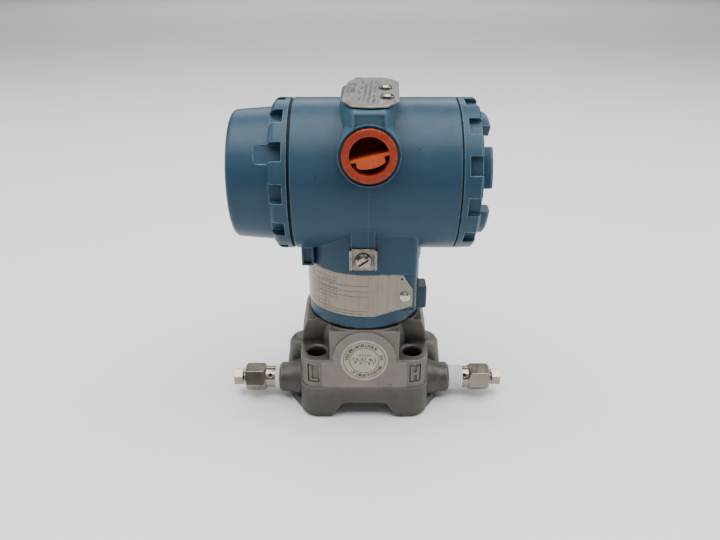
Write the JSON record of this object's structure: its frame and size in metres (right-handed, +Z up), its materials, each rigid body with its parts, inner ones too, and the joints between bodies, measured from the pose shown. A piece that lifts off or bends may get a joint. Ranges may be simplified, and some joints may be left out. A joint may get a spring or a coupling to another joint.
{
  "type": "differential pressure transmitter",
  "caption": "Process transmitter with a cylindrical blue housing, windowed cover, plugged conduit entries and a coplanar flange with drain and vent valves; measures pressure difference.",
  "frame": {"origin": "centre of the process flange's underside, midway between the process ports", "axes": "+Z up along the neck, +X towards the terminal cover (the display cover is at -X), -Y towards the front with the nameplate and the port marks"},
  "size_m": [0.1597, 0.097, 0.183],
  "materials": {
    "housing_paint": "semi-gloss paint over cast aluminium",
    "cover_paint": "semi-gloss paint over cast aluminium",
    "flange_casting": "satin as-cast",
    "module_casting": "satin as-cast",
    "bolt_steel": "machined",
    "diaphragm_steel": "smooth",
    "process_seal_ptfe": "smooth",
    "capsule_steel": "machined",
    "board": "satin solder mask",
    "seal_rubber": "matt",
    "label_foil": "satin foil",
    "sticker_paper": "matt paper",
    "set_screw_steel": "machined",
    "nameplate_steel": "satin rolled",
    "rivet_steel": "drawn",
    "tag_steel": "satin rolled",
    "tag_screw_steel": "machined",
    "clamp_steel": "stamped bright",
    "ground_screw_steel": "machined",
    "window_glass": "polished",
    "ring_plastic": "satin",
    "plug_plastic": "satin moulded",
    "display_plastic": "satin moulded",
    "lcd": "gloss",
    "terminal_plastic": "satin moulded",
    "terminal_brass": "plated",
    "block_screw_steel": "machined",
    "vent_steel": "machined",
    "stem_steel": "machined",
    "ball_steel": "polished",
    "thread_tape": "matt"
  },
  "bodies": {
    "base": {"process_flange": "flange_casting", "flange_bolts": "bolt_steel", "sensor_module": "module_casting", "isolating_diaphragms": "diaphragm_steel", "process_seals": "process_seal_ptfe", "sensor_capsule": "capsule_steel", "sensor_board": "board", "neck_seal": "seal_rubber", "module_label": "label_foil", "inspection_sticker": "sticker_paper", "left_vent_body": "vent_steel", "right_vent_body": "vent_steel", "left_thread_tape": "thread_tape", "right_thread_tape": "thread_tape"},
    "housing": {"housing_body": "housing_paint", "rotation_set_screw": "set_screw_steel", "nameplate": "nameplate_steel", "nameplate_rivets": "rivet_steel", "top_tag": "tag_steel", "tag_screws": "tag_screw_steel", "ground_clamp": "clamp_steel", "ground_screw": "ground_screw_steel", "electronics_board": "board", "board_screws": "block_screw_steel", "display_module": "display_plastic", "lcd_glass": "lcd", "terminal_block": "terminal_plastic", "terminal_screws": "terminal_brass", "block_screws": "block_screw_steel"},
    "display_seal": {"display_cover_seal": "seal_rubber"},
    "display_cover": {"display_cover": "cover_paint", "window_gasket": "seal_rubber", "window_glass": "window_glass", "window_ring": "ring_plastic"},
    "terminal_seal": {"terminal_cover_seal": "seal_rubber"},
    "terminal_cover": {"terminal_cover": "cover_paint"},
    "left_ball": {"left_vent_ball": "ball_steel"},
    "left_stem": {"left_vent_stem": "stem_steel"},
    "right_ball": {"right_vent_ball": "ball_steel"},
    "right_stem": {"right_vent_stem": "stem_steel"},
    "front_plug": {"front_conduit_plug": "plug_plastic"},
    "rear_plug": {"rear_conduit_plug": "plug_plastic"}
  },
  "joints": [
    {"name": "housing_rotation", "type": "hinge", "parent": "base", "child": "housing", "pos_m": [0, 0, 0.072], "axis": [0, 0, 1], "range_deg": [-180, 180]},
    {"name": "display_cover_travel", "type": "slide", "parent": "housing", "child": "display_seal", "axis": [-1, 0, 0], "range_m": [0, 0.01]},
    {"name": "display_cover_turn", "type": "hinge", "parent": "display_seal", "child": "display_cover", "pos_m": [-0.05, 0, 0.1369], "axis": [-1, 0, 0], "range_deg": [0, 1800]},
    {"name": "terminal_cover_travel", "type": "slide", "parent": "housing", "child": "terminal_seal", "axis": [1, 0, 0], "range_m": [0, 0.01]},
    {"name": "terminal_cover_turn", "type": "hinge", "parent": "terminal_seal", "child": "terminal_cover", "pos_m": [0.052, 0, 0.1369], "axis": [1, 0, 0], "range_deg": [0, 1800]},
    {"name": "left_vent_travel", "type": "slide", "parent": "base", "child": "left_ball", "axis": [-1, 0, 0], "range_m": [0, 0.002]},
    {"name": "left_vent_turn", "type": "hinge", "parent": "left_ball", "child": "left_stem", "pos_m": [-0.065, -0.008, 0.012], "axis": [-1, 0, 0], "range_deg": [0, 720]},
    {"name": "right_vent_travel", "type": "slide", "parent": "base", "child": "right_ball", "axis": [1, 0, 0], "range_m": [0, 0.002]},
    {"name": "right_vent_turn", "type": "hinge", "parent": "right_ball", "child": "right_stem", "pos_m": [0.065, -0.008, 0.012], "axis": [1, 0, 0], "range_deg": [0, 720]},
    {"name": "front_plug_pull", "type": "slide", "parent": "housing", "child": "front_plug", "axis": [0, -1, 0], "range_m": [0, 0.016]},
    {"name": "rear_plug_pull", "type": "slide", "parent": "housing", "child": "rear_plug", "axis": [0, 1, 0], "range_m": [0, 0.016]}
  ],
  "couplings": [
    {"joint": "display_cover_travel", "follows": "display_cover_turn", "m_per_rad": 0.000318},
    {"joint": "terminal_cover_travel", "follows": "terminal_cover_turn", "m_per_rad": 0.000318},
    {"joint": "left_vent_turn", "follows": "left_vent_travel", "rad_per_m": 6280},
    {"joint": "right_vent_turn", "follows": "right_vent_travel", "rad_per_m": 6280}
  ]
}
